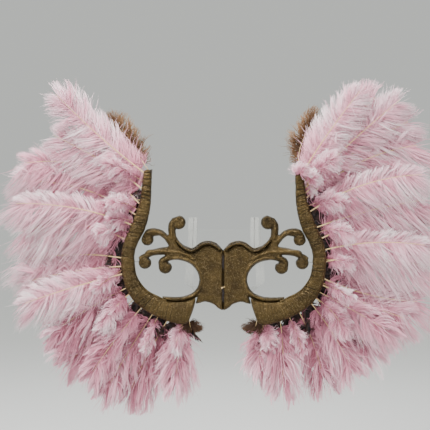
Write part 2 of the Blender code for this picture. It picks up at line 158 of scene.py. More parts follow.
RIGHT_FLUFFS = [
    Plume("fluff_right_1", "fluff", 1.00, 440, 362, 530, 392, 64, 62),
    Plume("fluff_right_2", "fluff", 2.48, 474, 204, 562, 172, 60, 52),
    Plume("fluff_right_3", "fore", 4.50, 506, 78, 594, 28, 50, 66),
    Plume("fluff_right_4", "fluff", 9.58, 494, -300, 546, -400, 66, 60),
]
LEFT_BRONZE = [
    Plume("bronze_left_top", "bronze", 0.04, 424, 468, 535, 610, 62, 60),
    Plume("bronze_left_low", "back", 14.55, 146, -366, 136, -402, 40, 40),
]
RIGHT_BRONZE = [
    Plume("bronze_right_top", "bronze", 0.04, 352, 470, 442, 616, 60, 34),
    Plume("bronze_right_low", "back", 14.55, 140, -366, 128, -406, 40, 40),
]

FILLERS = {  # plumes of the rear row that close the fan between the long ones
    "left": [
        Plume("rear_left_1", "back", 3.2, 668, 268, 962, 286, 96, 120),
        Plume("rear_left_2", "back", 7.2, 705, -118, 930, -172, 100, 110),
        Plume("rear_left_3", "back", 9.3, 615, -352, 768, -490, 100, 100),
    ],
    "right": [
        Plume("rear_right_1", "back", 1.0, 520, 500, 712, 700, 110, 100),
        Plume("rear_right_2", "back", 1.7, 600, 432, 862, 572, 100, 110),
        Plume("rear_right_3", "back", 8.5, 655, -262, 850, -326, 100, 110),
        Plume("rear_right_4", "back", 9.6, 572, -370, 690, -506, 100, 100),
    ],
}
WISPS = {  # short curled feathers laid over the quills' roots and, on the right, the band's top
    "left": [
        Plume("wisp_left_1", "fore", 2.9, 452, 196, 520, 150, 50, 46),
        Plume("wisp_left_2", "fore", 3.7, 462, 128, 540, 118, 44, 50),
        Plume("wisp_left_3", "fluff", 7.3, 520, -150, 590, -205, 44, 44),
        Plume("wisp_left_4", "fluff", 11.9, 330, -392, 352, -486, 42, 42),
        Plume("wisp_left_5", "fluff", 13.9, 204, -398, 206, -476, 40, 40),
    ],
    "right": [
        Plume("wisp_right_1", "over", 0.70, 374, 320, 322, 244, 56, 50),
        Plume("wisp_right_2", "over", 0.35, 354, 372, 312, 298, 56, 50),
        Plume("wisp_right_7", "over", 1.30, 418, 330, 404, 262, 50, 50),
        Plume("wisp_right_8", "over", 1.15, 390, 262, 338, 206, 56, 50),
        Plume("wisp_right_3", "fluff", 6.6, 520, -60, 590, -78, 46, 46),
        Plume("wisp_right_4", "fore", 8.4, 512, -190, 590, -236, 44, 44),
        Plume("wisp_right_5", "fluff", 11.9, 330, -392, 352, -486, 42, 42),
        Plume("wisp_right_6", "fluff", 13.9, 200, -396, 190, -470, 40, 40),
    ],
}


# Curves shared with the solids

def smooth_through(points, place):
    last = len(points) - 1
    first = min(max(int(math.floor(place)), 0), last - 1)
    part = place - first
    before = Vector(points[max(first - 1, 0)])
    start = Vector(points[first])
    end = Vector(points[first + 1])
    after = Vector(points[min(first + 2, last)])
    leave = (end - before) / 2
    arrive = (after - start) / 2
    bend = 3 * (end - start) - 2 * leave - arrive
    close = 2 * (start - end) + leave + arrive
    return start + leave * part + bend * part ** 2 + close * part ** 3


def band_edge(station, which):
    if which == "outer":
        points = [(row.outer_x, row.outer_z) for row in BAND]
    else:
        points = [(row.inner_x, row.inner_z) for row in BAND]
    return smooth_through(points, station)


def band_inset(station, inset):
    outer = band_edge(station, "outer")
    inner = band_edge(station, "inner")
    return outer + (inner - outer).normalized() * inset


def ease(share):
    share = min(max(share, 0.0), 1.0)
    return share * share * (3 - 2 * share)


def dish(x, z):
    radius = math.hypot(x, z) * MM
    return -1000.0 * DISH_BEND * max(0.0, radius - DISH_START) ** 2


def quill_length(plume):
    tip = Vector((plume.tip_x, plume.tip_z))
    return (tip - band_inset(plume.station, ROOT_INSET)).length


def quill_path(plume, side, count=90):
    """Points along a quill and, for each, the direction across its vane toward the band's top."""
    root = band_inset(plume.station, ROOT_INSET)
    half = Vector((plume.half_x, plume.half_z))
    tip = Vector((plume.tip_x, plume.tip_z))
    control = 2 * half - (root + tip) / 2
    rise_end = min(RISE_END, 0.75 * quill_length(plume))
    points, acrosses = [], []
    for index in range(count):
        along = index / (count - 1)
        spot = root * (1 - along) ** 2 + control * 2 * along * (1 - along) + tip * along ** 2
        heading = ((control - root) * (1 - along) + (tip - control) * along).normalized()
        risen = ease(((spot - root).length - RISE_START) / (rise_end - RISE_START))
        depth = ROOT_Y + (LAYERS[plume.layer] - ROOT_Y) * risen + dish(spot.x, spot.y)
        points.append((side * spot.x * MM, depth * MM, spot.y * MM))
        acrosses.append((side * -heading.y, 0.0, heading.x))
    return np.array(points), np.array(acrosses)


# Feathers

# Painted shade by row: the rear rows darker, the front and over rows lighter.
LAYER_LIGHT_AND_SHADE = {"over": 0.05, "fore": 0.0, "fluff": 0.0, "front": 0.03, "middle": -0.05,
              "back": -0.10, "bronze": 0.0}
LAYER_REACH = {"over": 1.0, "fore": 1.0, "fluff": 1.0, "front": 1.0, "middle": 1.06,
               "back": 1.16, "bronze": 1.22}
Look = namedtuple("Look", "count segments width lean_root lean_tip droop_up droop_down tilt curl "
                          "clumps gather strands knit stray loose frizz uneven tone_root tone_tip "
                          "tone_vary quill_radius quill_lift")
# tone_root and tone_tip carry the painted shade along each barb, darker at the root.
PLUME_LOOK = Look(count=1420, segments=5, width=2.9, lean_root=66, lean_tip=32, droop_up=0.06,
                  droop_down=0.22, tilt=0.08, curl=-0.10, clumps=26, gather=0.20, strands=95,
                  knit=0.62, stray=0.16, loose=0.40, frizz=0.0, uneven=0.24, tone_root=0.50,
                  tone_tip=0.94, tone_vary=0.09, quill_radius=3.2, quill_lift=14.0)
HANGING_LOOK = PLUME_LOOK._replace(lean_root=60, lean_tip=8, droop_down=0.28, tilt=0.13,
                                   clumps=20, gather=0.30, strands=60, knit=0.80, loose=0.55,
                                   frizz=0.10, uneven=0.50, tone_root=0.16, tone_tip=0.76,
                                   tone_vary=0.15, quill_radius=2.0, quill_lift=1.0)
FLUFF_LOOK = PLUME_LOOK._replace(count=720, width=2.5, lean_root=58, lean_tip=24, droop_up=0.05,
                                 droop_down=0.25, tilt=0.30, curl=-0.15, clumps=9, gather=0.15,
                                 strands=34, knit=0.86, loose=0.6, frizz=0.42, uneven=0.65,
                                 tone_root=0.12, tone_tip=1.0, tone_vary=0.14, quill_radius=1.4,
                                 quill_lift=1.0)
BRONZE_LOOK = PLUME_LOOK._replace(count=800, clumps=16, tilt=0.16, loose=0.7, frizz=0.22,
                                  strands=60, uneven=0.25, tone_root=0.1, tone_tip=0.9,
                                  quill_radius=1.5)
COQUE_LOOK = PLUME_LOOK._replace(count=46, segments=3, width=9.5, lean_root=52, lean_tip=14,
                                 droop_down=0.05, tilt=0.10, curl=0.0, clumps=5, gather=0.2,
                                 strands=14, knit=0.4, stray=0.1, loose=0.1, tone_root=0.0,
                                 tone_tip=1.0, quill_radius=0.9)
# Every feather draws from a seed of its own: side, kind and number
SIDE_SEED = 100
SEEDS = {"plume": 500, "fluff": 900, "bronze": 1300, "wisp": 1700, "rear": 2100}
LOW_BRONZE_DARKER = 0.5
# Barb length along a quill, as (place, share of the full length)
FULLNESS = ((0.00, 0.62), (0.08, 0.74), (0.20, 0.90), (0.34, 1.00), (0.60, 1.00),
            (0.84, 0.97), (1.00, 0.80))
BARB_REACH = 0.74  # share of its length that a leaning barb reaches sideways
TIP_EXTRA, TIP_ZONE = 0.12, 0.10
FAN_FROM = 0.80
LOOSE_UNTIL = 0.35
BARB_TAPER, BARB_TWIST = 0.86, 0.55
QUILL_SIDES, QUILL_TAPER, QUILL_RINGS = 6, 0.75, 26
COQUE_PITCH, COQUE_TWINS, COQUE_POINTS, COQUE_QUILL_RINGS = 27.0, 5, 24, 6
COQUE_REACH = 0.032
BACK, UP = np.array([0.0, 1.0, 0.0]), np.array([0.0, 0.0, 1.0])
ROOM_SHARE, ROOM_EXTRA = 0.027, 0.008
ROOM_SOFT = np.array([0.045, 0.012, 0.045])


def unit(vectors):
    return vectors / np.maximum(np.linalg.norm(vectors, axis=-1, keepdims=True), 1e-9)


def sample(values, place):
    """Rows of values read at places between 0 and 1."""
    grid = np.linspace(0.0, 1.0, len(values))
    return np.stack([np.interp(place, grid, values[:, axis]) for axis in range(3)], axis=-1)


def held_in(paths):
    """Tips that would leave the room round the solids are drawn back softly."""
    size = np.array(CAD_BOX[1]) - np.array(CAD_BOX[0])
    beyond = ROOM_SHARE * size + ROOM_EXTRA
    low, high = np.array(CAD_BOX[0]) - beyond, np.array(CAD_BOX[1]) + beyond
    over = np.maximum(paths - (high - ROOM_SOFT), 0.0)
    under = np.maximum((low + ROOM_SOFT) - paths, 0.0)
    return (paths - over + ROOM_SOFT * np.tanh(over / ROOM_SOFT)
            + under - ROOM_SOFT * np.tanh(under / ROOM_SOFT))


def draw_together(paths, group_of, groups, stray, pull):
    """Draws the barbs of each group toward their mean line, more so toward their tips."""
    for group in range(groups):
        members = np.nonzero((group_of == group) & ~stray)[0]
        if len(members) > 1:
            mean = paths[members].mean(axis=0)
            paths[members] += (mean - paths[members]) * pull[None, :, None]


def grow_barbs(path, across, upper, lower, bare, tip, look, rng):
    """Barbs between two places of a quill as thin ribbons: corners, faces, normals and tone."""
    count, steps = look.count, look.segments
    share = (np.arange(count) + rng.random(count)) / count
    share = np.where(rng.random(count) < TIP_EXTRA, 1 - TIP_ZONE * rng.random(count), share)
    place = bare + (tip - bare) * share
    flank = np.where(rng.random(count) < 0.5, -1.0, 1.0)
    base = sample(path, place)
    tangent = unit(sample(np.gradient(path, axis=0), place))
    sideways = unit(sample(across, place))
    full = np.interp(share, [row[0] for row in FULLNESS], [row[1] for row in FULLNESS])
    reach = np.where(flank > 0, upper, lower) * full
    clump = np.floor(share * look.clumps + 0.5 * rng.random(count)).astype(int)
    clump = clump + np.where(flank > 0, look.clumps + 2, 0)
    total = 2 * look.clumps + 4
    clump_lean = rng.normal(0.0, 0.11, total)[clump]
    clump_long = rng.uniform(0.86, 1.06, total)[clump]
    clump_tilt = rng.normal(0.0, look.tilt, total)[clump]
    clump_tone = rng.normal(0.0, look.tone_vary, total)[clump]
    stray = rng.random(count) < look.stray
    loose = look.loose * np.clip(1 - share / LOOSE_UNTIL, 0, 1)
    spread = 0.05 + 0.6 * look.frizz + 0.7 * loose + np.where(stray, 0.28, 0.0)
    lean = clump_lean + rng.normal(0.0, 1.0, count) * spread
    fan = np.clip((share - FAN_FROM) / (1 - FAN_FROM), 0, 1)
    narrow = 1 - fan + fan * rng.uniform(0.0, 1.0, count)
    strand = np.floor(share * look.strands + 0.3 * rng.random(count)).astype(int)
    strand = strand + np.where(flank > 0, look.strands + 2, 0)
    strand_total = 2 * look.strands + 4
    strand_lean = rng.normal(0.0, 0.05 + 0.5 * look.frizz + 0.15 * look.loose, strand_total)
    lean = lean + strand_lean[strand]
    strand_long = 1 - look.uneven * rng.random(strand_total) ** 1.5
    length = reach / BARB_REACH * clump_long * strand_long[strand] * rng.uniform(0.86, 1.10, count)
    strand_tilt = rng.normal(0.0, look.tilt, strand_total)[strand]
    tilt = clump_tilt + strand_tilt + rng.normal(0.0, 1.0, count) * (look.tilt * 0.4 + 0.3 * loose)
    curl = look.curl * rng.uniform(0.3, 1.5, count)
    droop = np.where(flank * sideways[:, 2] > 0, look.droop_up, look.droop_down)
    droop = droop * rng.uniform(0.5, 1.5, count)
    phase = rng.random(strand_total)[strand] + 0.12 * rng.random(count)
    paths = np.zeros((count, steps + 1, 3))
    spot = base.copy()
    paths[:, 0] = spot
    for step in range(steps):
        middle = (step + 0.5) / steps
        angle = np.radians(look.lean_root + (look.lean_tip - look.lean_root) * middle) * narrow
        swing = (0.20 + 0.9 * loose + 2.0 * look.frizz) * middle
        angle = angle + lean + swing * np.sin(2 * np.pi * (middle * 1.5 + phase))
        heading = tangent * np.cos(angle)[:, None] + sideways * (flank * np.sin(angle))[:, None]
        spot = spot + heading * (length / steps)[:, None]
        paths[:, step + 1] = spot
    reached = np.linspace(0.0, 1.0, steps + 1)
    paths[:, :, 1] += length[:, None] * (tilt[:, None] * reached + curl[:, None] * reached ** 2)
    paths[:, :, 2] -= (length * droop)[:, None] * reached ** 2
    draw_together(paths, clump, total, stray, look.gather * reached ** 1.7)
    draw_together(paths, strand, strand_total, stray, look.knit * reached ** 1.2)
    paths = held_in(paths)
    ahead = unit(np.gradient(paths, axis=1))
    flat = unit(np.cross(ahead, BACK))
    twist = rng.normal(0.0, BARB_TWIST, count)[:, None, None]
    ribbon = flat * np.cos(twist) + BACK * np.sin(twist)
    facing = np.cross(ribbon, ahead)[:, steps // 2, 1]
    ribbon = ribbon * np.where(facing > 0, -1.0, 1.0)[:, None, None]
    taper = 1.0 - BARB_TAPER * reached ** 1.4
    half = look.width * MM / 2 * rng.uniform(0.7, 1.2, count)[:, None] * taper[None, :]
    left = paths - ribbon * half[:, :, None]
    right = paths + ribbon * half[:, :, None]
    corners = np.stack([left, right], axis=2).reshape(-1, 3)
    first = (np.arange(count) * (steps + 1) * 2)[:, None] + (np.arange(steps) * 2)[None, :]
    faces = np.stack([first, first + 1, first + 3, first + 2], axis=-1).reshape(-1, 4)
    offset = rng.normal(0.0, 0.30, count)
    outward = sideways * flank[:, None]
    normal = (-0.75 * BACK + 0.18 * UP
              + outward[:, None, :] * (0.75 * reached[None, :, None] - 0.20)
              + tangent[:, None, :] * offset[:, None, None])
    normals = np.repeat(unit(normal), 2, axis=1).reshape(-1, 3)
    # Painted shade: each barb darker toward its root where the barbs overlap, and the barbs near
    # the band darker still; clump and strand tones are random tone of the plume's own.
    root_to_tip = look.tone_root + (look.tone_tip - look.tone_root) * reached[None, :]
    inner_shade = 0.50 + 0.50 * np.clip(share * 2.2, 0, 1)
    strand_tone = rng.normal(0.0, 0.09, strand_total)[strand]
    tone = root_to_tip + (clump_tone + strand_tone + rng.normal(0, 0.04, count))[:, None]
    tone = np.clip(tone * inner_shade[:, None], 0, 1)
    tones = np.repeat(tone, 2, axis=1).reshape(-1)
    return corners, faces, normals, tones


def grow_quill(path, radius, lift, rings=QUILL_RINGS):
    """The quill as a thin tube, lifted in front of the barbs' roots or left among them."""
    sides = QUILL_SIDES
    picks = np.linspace(0, len(path) - 1, rings).astype(int)
    spine = path[picks] - BACK * lift * MM
    ahead = unit(np.gradient(spine, axis=0))
    flat = unit(np.cross(ahead, BACK))
    up = unit(np.cross(flat, ahead))
    shrink = radius * MM * (1 - QUILL_TAPER * np.linspace(0, 1, len(picks)))
    angles = 2 * np.pi * np.arange(sides) / sides
    around = (flat[:, None, :] * np.cos(angles)[None, :, None]
              + up[:, None, :] * np.sin(angles)[None, :, None])
    corners = (spine[:, None, :] + around * shrink[:, None, None]).reshape(-1, 3)
    faces = []
    for ring in range(len(picks) - 1):
        for corner in range(sides):
            following = (corner + 1) % sides
            faces.append((ring * sides + corner, (ring + 1) * sides + corner,
                          (ring + 1) * sides + following, ring * sides + following))
    normals = around.reshape(-1, 3)
    return corners, np.array(faces), normals, np.full(len(corners), 0.5)


def make_feather_object(name, parts, materials):
    """One object from batches of (corners, faces, normals, tones, material number)."""
    corners = np.concatenate([part[0] for part in parts])
    normals = np.concatenate([part[2] for part in parts])
    tones = np.concatenate([part[3] for part in parts])
    faces, numbers, first = [], [], 0
    for part in parts:
        faces.append(part[1] + first)
        numbers.append(np.full(len(part[1]), part[4]))
        first += len(part[0])
    mesh = bpy.data.meshes.new(name)
    mesh.from_pydata(corners.tolist(), [], np.concatenate(faces).tolist())
    mesh.polygons.foreach_set("material_index", np.concatenate(numbers).astype(np.int32))
    mesh.shade_smooth()
    tone = mesh.attributes.new("tone", "FLOAT", "POINT")
    tone.data.foreach_set("value", tones.astype(np.float32))
    mesh.normals_split_custom_set_from_vertices(normals.tolist())
    thing = bpy.data.objects.new(name, mesh)
    bpy.context.scene.collection.objects.link(thing)
    for material in materials:
        mesh.materials.append(material)
    return thing


def add_plume(plume, side, look, material, seed, replaced):
    rng = np.random.default_rng(seed)
    path, across = quill_path(plume, side)
    bare = min(BARB_START, 0.16 * quill_length(plume)) / quill_length(plume)
    tip = 1 - 0.46 * (plume.upper + plume.lower) / quill_length(plume)
    # The row's painted shade plus a random tone of the plume's own.
    tone_shift = LAYER_LIGHT_AND_SHADE[plume.layer] + rng.uniform(-0.05, 0.05)
    shifted = look._replace(tone_root=look.tone_root + tone_shift,
                            tone_tip=look.tone_tip + tone_shift)
    fuller = LAYER_REACH[plume.layer] * MM * (THICK_REACH if plume.station > THICK_FROM else 1.0)
    barbs = grow_barbs(path, across, plume.upper * fuller, plume.lower * fuller, bare, tip,
                       shifted, rng)
    quill = grow_quill(path[:int(len(path) * (tip + 0.06))], look.quill_radius, look.quill_lift)
    piece = make_feather_object("barbs_" + plume.name, [(*barbs, 0), (*quill, 1)],
                                [material, STRAW])
    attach(piece, "root")
    if replaced:
        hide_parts(plume.name)


def add_pink_feathers(feathers, side, kind, replaced):
    for number, plume in enumerate(feathers):
        look = HANGING_LOOK if plume.station > HANGING_FROM else PLUME_LOOK
        if kind in ("fluff", "wisp"):
            look = FLUFF_LOOK
        seed = SIDE_SEED * side + number + SEEDS[kind]
        add_plume(plume, side, look, PINK, seed, replaced)


def add_bronze_feathers(feathers, side):
    for number, plume in enumerate(feathers):
        darker = LOW_BRONZE_DARKER if plume.name.endswith("low") else 0.0
        look = BRONZE_LOOK._replace(tone_root=BRONZE_LOOK.tone_root - darker,
                                    tone_tip=BRONZE_LOOK.tone_tip - darker)
        seed = SIDE_SEED * side + number + SEEDS["bronze"]
        add_plume(plume, side, look, BRONZE, seed, True)


def coque_places(plumes):
    roots = sorted(plume.station for plume in plumes if plume.station > COQUE_START)
    places = []
    for low, high in zip(roots, roots[1:]):
        gap = (band_inset(high, ROOT_INSET) - band_inset(low, ROOT_INSET)).length
        count = int(gap / COQUE_PITCH)
        for index in range(count):
            places.append(low + (high - low) * (index + 1) / (count + 1))
    return places


def add_coque_row(label, side, plumes):
    """Cock feathers between the quills, each a shaft with short glossy barbs."""
    rng = np.random.default_rng(40 + side)
    parts = []
    for number, station in enumerate(coque_places(plumes)):
        base = band_inset(station, COQUE_NEAR + 4)
        inner = band_inset(station, COQUE_FAR)
        outward = (base - inner).normalized()
        lengthwise = Vector((outward.y, -outward.x))
        slope = 0.66 if number % 2 else 0.84
        for twin in range(COQUE_TWINS):
            length = COQUE_LENGTH * rng.uniform(0.72, 1.05)
            lean = rng.uniform(-0.8, 0.8)
            sag = rng.uniform(0.0, 0.25)
            points, across = [], []
            for index in range(COQUE_POINTS):
                along = index / (COQUE_POINTS - 1)
                spot = base + (outward + lengthwise * lean * along) * length * along
                drop = sag * length * along ** 2
                depth = 9.0 + slope * length * along * (0.25 + 0.19 * twin)
                points.append((side * spot.x * MM, depth * MM, (spot.y - drop) * MM))
                across.append((side * -outward.y, 0.0, outward.x))
            path = np.array(points)
            barbs = grow_barbs(path, np.array(across), COQUE_REACH, COQUE_REACH, 0.02, 0.92,
                               COQUE_LOOK, rng)
            quill = grow_quill(path, COQUE_LOOK.quill_radius, 0.0, COQUE_QUILL_RINGS)
            parts += [(*barbs, 0), (*quill, 0)]
    piece = make_feather_object("coque_feathers_" + label, parts, [COQUE])
    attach(piece, "root")
    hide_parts("coque_row_" + label)


# Frame pieces

VOXEL, SOFTEN_ROUNDS = 0.0029, 9
CRINKLE_HEIGHT, CLOTH_LIFT = 0.8, 0.6
BAND_SLICES, BAND_CORNERS, BAND_SQUARENESS = 560, 40, 0.80
END_ROUNDING = 16.0
WRINKLES = 230
WELT_RINGS, WELT_CORNERS, WELT_TIP = 90, 12, 1.5
LIP_START, LIP_END, LIP_DEPTH, LIP_RADIUS = 7.4, 12.0, 26.0, 5.5
TUCK_START, TUCK_END, TUCK_DEPTH, TUCK_RADIUS = 11.4, 14.9, 13.0, 6.0
STRAP_RINGS, STRAP_COLUMNS, STRAP_FOLDS, STRAP_GATHER = 150, 13, 6, 0.4
STITCHES, STITCH_PITCH, LACING_TOPS = 8, 7.0, (-40, -186)


def add_mesh_piece(name, mesh, material, nodes):
    thing = bpy.data.objects.new(name, mesh)
    bpy.context.scene.collection.objects.link(thing)
    mesh.materials.append(material)
    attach(thing, "root")
    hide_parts(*nodes)
    return thing


RIDGES = [  # soft raised lines in the padding, as (height, width) and points along each
    ((7.0, 5.5), [(371, -50), (352, -26), (322, -19), (284, -18), (243, -20), (200, -22),
                  (160, -34), (132, -52)]),
    ((6.0, 5.0), [(223, -50), (196, -47), (156, -56), (124, -78), (100, -114), (95, -153),
                  (108, -192), (136, -216), (180, -230)]),
    ((5.0, 4.5), [(243, 30), (268, 58), (305, 70), (334, 66), (350, 50)]),
    ((5.0, 4.5), [(226, 40), (230, 80), (226, 106), (205, 124)]),
    ((4.5, 5.0), [(243, -44), (268, -56), (275, -76), (268, -98)]),
    ((2.0, 10.0), [(14, -40), (12, -120), (14, -200), (12, -262)]),
]
CURLS = [  # grooves that wind into the scrolls' ends: centre, radius, first and last angle
    (198, 109, 31, 298, 500),
    (338, 33, 27.5, -208, -410),
    (349, -70, 28.5, -208, -410),
    (258, -90, 29.5, -214, -416),
]
CURL_DEPTH, CURL_WIDTH = 3.4, 4.2
PUFF_REACH, PUFF_DROP, PUFF_RISE = 15.0, 7.0, 2.0


def distance_to_line(xs, zs, points):
    nearest = np.full(len(xs), 1e9)
    for (ax, az), (bx, bz) in zip(points, points[1:]):
        dx, dz = bx - ax, bz - az
        share = ((xs - ax) * dx + (zs - az) * dz) / (dx * dx + dz * dz)
        share = np.clip(share, 0.0, 1.0)
        nearest = np.minimum(nearest, np.hypot(xs - ax - share * dx, zs - az - share * dz))
    return nearest


def lift_relief(xs, zs):
    """Height of the soft ridges and depth of the curls over places in the plane of the frame."""
    lift = np.zeros(len(xs))
    for (height, width), points in RIDGES:
        gap = distance_to_line(xs, zs, points)
        lift = np.maximum(lift, height * np.exp(-(gap / width) ** 2))
    for centre_x, centre_z, radius, first, last in CURLS:
        points = []
        for index in range(19):
            share = index / 18
            angle = math.radians(first + (last - first) * share)
            reach = radius * (0.98 - 0.60 * share)
            points.append((centre_x + reach * math.cos(angle), centre_z + reach * math.sin(angle)))
        gap = distance_to_line(xs, zs, points)
        lift -= CURL_DEPTH * np.exp(-(gap / CURL_WIDTH) ** 2)
    return lift


def puff_front(places, normals, front):
    """Rounds the front like stuffed cloth: low at the edges, full in the middle."""
    edges = np.nonzero(np.abs(normals[:, 1]) < 0.6)[0]
    tree = KDTree(len(edges))
    for index in edges:
        tree.insert((places[index, 0], 0.0, places[index, 2]), int(index))
    tree.balance()
    lift = np.zeros(len(places))
    for index in np.nonzero(front > 0)[0]:
        gap = tree.find((places[index, 0], 0.0, places[index, 2]))[2] / MM
        full = math.sqrt(1 - (1 - min(gap / PUFF_REACH, 1.0)) ** 2)
        lift[index] = PUFF_RISE * full - PUFF_DROP * (1 - full)
    return lift * front


def mark_folds(mesh, folds):
    """Keeps how high or deep each place lies in the cloth, for the material's painted highlights on
    the ridges and painted shade in the creases.
    """
    layer = mesh.attributes.new("fold", "FLOAT", "POINT")
    layer.data.foreach_set("value", np.clip(folds, -1, 1).astype(np.float32))


def add_frame_half(label, side):
    """Panel, scrolls and roll of one half under one skin of cloth."""
    nodes = ["panel_" + label, "roll_" + label]
    nodes += [f"scroll_{kind}_{label}" for kind in ("crest", "outer", "middle", "inner")]
    work = bmesh.new()
    for node in nodes:
        work.from_mesh(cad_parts[node].data)
    mesh = bpy.data.meshes.new("frame_cloth_" + label)
    work.to_mesh(mesh)
    work.free()
    source = bpy.data.objects.new("frame_source", mesh)
    bpy.context.scene.collection.objects.link(source)
    remesh = source.modifiers.new("Remesh", "REMESH")
    remesh.mode = "VOXEL"
    remesh.voxel_size = VOXEL
    soften = source.modifiers.new("Smooth", "SMOOTH")
    soften.factor = 0.5
    soften.iterations = SOFTEN_ROUNDS
    shape = baked(source, "frame_cloth_" + label)
    count = len(shape.vertices)
    places = np.empty(count * 3)
    shape.vertices.foreach_get("co", places)
    places = places.reshape(-1, 3)
    normals = np.empty(count * 3)
    shape.vertices.foreach_get("normal", normals)
    normals = normals.reshape(-1, 3)
    front = np.clip((-places[:, 1] / MM - 6.0) / 12.0, 0.0, 1.0)
    relief = lift_relief(side * places[:, 0] / MM, places[:, 2] / MM) * front
    crinkle = np.array([
        noise.noise(Vector(spot) * 95.0) + 0.7 * noise.noise(Vector(spot) * 230.0)
        for spot in places])
    puffed = puff_front(places, normals, front)
    places += normals * ((relief + CRINKLE_HEIGHT * crinkle + CLOTH_LIFT) * MM)[:, None]
    places[:, 1] -= puffed * MM
    shape.vertices.foreach_set("co", places.reshape(-1))
    # The fold value paints highlights on the ridges and puffs and paints shade in the curl grooves
    # and crinkle hollows.
    mark_folds(shape, relief / 6.0 + 0.35 * crinkle + 0.05 * puffed)
    shape.shade_smooth()
    piece = add_mesh_piece("frame_cloth_" + label, shape, GOLD, nodes)


def baked(source, name):
    """The evaluated mesh of a helper object, which is then removed."""
    graph = bpy.context.evaluated_depsgraph_get()
    mesh = bpy.data.meshes.new_from_object(source.evaluated_get(graph))
    mesh.name = name
    mesh.materials.clear()
    bpy.data.objects.remove(source, do_unlink=True)
    return mesh


def main_crease(place):
    """Depth of the large creases, which the solid has too, at a place counted in rings."""
    index = np.round((place - 1) / 2) * 2 + 1
    depth = CREASE_DEPTH * (0.62 + 0.38 * np.sin(2.4 * index))
    return depth * np.exp(-((place - index) / 0.42) ** 2)


def add_welt(work, side, first, final, depth_in, full_radius):
    """A rolled welt along the band's inner edge: the lip at the window and the tuck below it."""
    rings, corners = WELT_RINGS, WELT_CORNERS
    last = None
    for index in range(rings + 1):
        station = first + (final - first) * index / rings
        radius = WELT_TIP + (full_radius - WELT_TIP) * ease(index / rings * 1.6)
        inner = band_edge(station, "inner")
        inward = (inner - band_edge(station, "outer")).normalized()
        centre = inner + inward * 0.5
        ring = []
        for corner in range(corners):
            angle = 2 * math.pi * corner / corners
            spot = centre + inward * radius * math.cos(angle)
            depth = -depth_in + radius * 1.3 * math.sin(angle)
            ring.append(work.verts.new((side * spot.x * MM, depth * MM, spot.y * MM)))
        if last is None:
            work.faces.new(ring)
        else:
            for corner in range(corners):
                following = (corner + 1) % corners
                work.faces.new((last[corner], last[following], ring[following], ring[corner]))
        last = ring
    work.faces.new(last)


def add_band(label, side):
    """The padded band, its cloth gathered in many crosswise wrinkles."""
    rng = np.random.default_rng(70 + side)
    corners = BAND_CORNERS
    stations = np.linspace(0, len(BAND) - 1, BAND_SLICES)
    angles = 2 * np.pi * (np.arange(corners) + 0.5) / corners
    along = np.sign(np.cos(angles)) * np.abs(np.cos(angles)) ** BAND_SQUARENESS
    out = np.sign(np.sin(angles)) * np.abs(np.sin(angles)) ** BAND_SQUARENESS
    outer = np.array([band_edge(station, "outer") for station in stations])
    inner = np.array([band_edge(station, "inner") for station in stations])
    middle, reach = (outer + inner) / 2, (outer - inner) / 2
    travelled = np.concatenate([[0], np.cumsum(np.linalg.norm(np.diff(middle, axis=0), axis=1))])
    end_gap = np.minimum(travelled, travelled[-1] - travelled)
    rounding = 1 - (1 - np.clip(end_gap / END_ROUNDING, 0, 1)) ** 2
    rounding = np.sqrt(np.clip(rounding, 0.02, 1))
    place = stations / (len(BAND) - 1) * (BAND_RINGS - 1)
    dent = (0.8 - 0.5 * place / BAND_RINGS)[:, None] * main_crease(place)[:, None]
    dent = dent * np.ones(corners)[None, :]
    for _ in range(WRINKLES):
        centre = travelled[-1] * rng.random() ** 1.15
        turn = rng.uniform(-np.pi, np.pi)
        extent = rng.uniform(0.5, 1.7)
        slant = rng.normal(0.0, 5.0)
        width = rng.uniform(1.6, 3.6)
        depth = rng.uniform(0.5, 3.0) * (1 - 0.60 * centre / travelled[-1])
        gap = np.angle(np.exp(1j * (angles - turn)))
        shift = travelled[:, None] - centre - slant * gap[None, :]
        fade = np.exp(-(gap / extent) ** 4)[None, :]
        dent += depth * fade * np.exp(-(shift / width) ** 2)
    half_depth = BAND_DEPTH / 2 * rounding[:, None] - 0.8 * dent
    wide = 1.02 * rounding[:, None] - 0.45 * dent / np.linalg.norm(reach, axis=1)[:, None]
    spots = middle[:, None, :] + reach[:, None, :] * (wide * along[None, :])[:, :, None]
    depths = -BAND_DEPTH / 2 + half_depth * out[None, :]
    places = np.stack([side * spots[:, :, 0], depths, spots[:, :, 1]], axis=-1) * MM
    work = bmesh.new()
    rows = [[work.verts.new(spot) for spot in ring] for ring in places]
    for near, far in zip(rows, rows[1:]):
        for corner in range(corners):
            following = (corner + 1) % corners
            work.faces.new((near[corner], near[following], far[following], far[corner]))
    work.faces.new(rows[0])
    work.faces.new(rows[-1])
    # Painted shade in each crease and painted highlight on its shoulders, from the dent against its
    # blurred level; the welts get one flat value.
    blur = np.exp(-(np.arange(-8, 9) / 4.0) ** 2)
    level = np.apply_along_axis(np.convolve, 0, dent, blur / blur.sum(), "same")
    shade = np.clip(0.1 + (level - dent) / 1.3, -1, 1).reshape(-1).tolist()
    add_welt(work, side, LIP_START, LIP_END, LIP_DEPTH, LIP_RADIUS)
    add_welt(work, side, TUCK_START, TUCK_END, TUCK_DEPTH, TUCK_RADIUS)
    bmesh.ops.recalc_face_normals(work, faces=work.faces)
    mesh = bpy.data.meshes.new("band_cloth_" + label)
    work.to_mesh(mesh)
    work.free()
    mesh.shade_smooth()
    mark_folds(mesh, np.array(shade + [0.2] * (len(mesh.vertices) - len(shade))))
    piece = add_mesh_piece("band_cloth_" + label, mesh, GOLD, ["band_" + label])


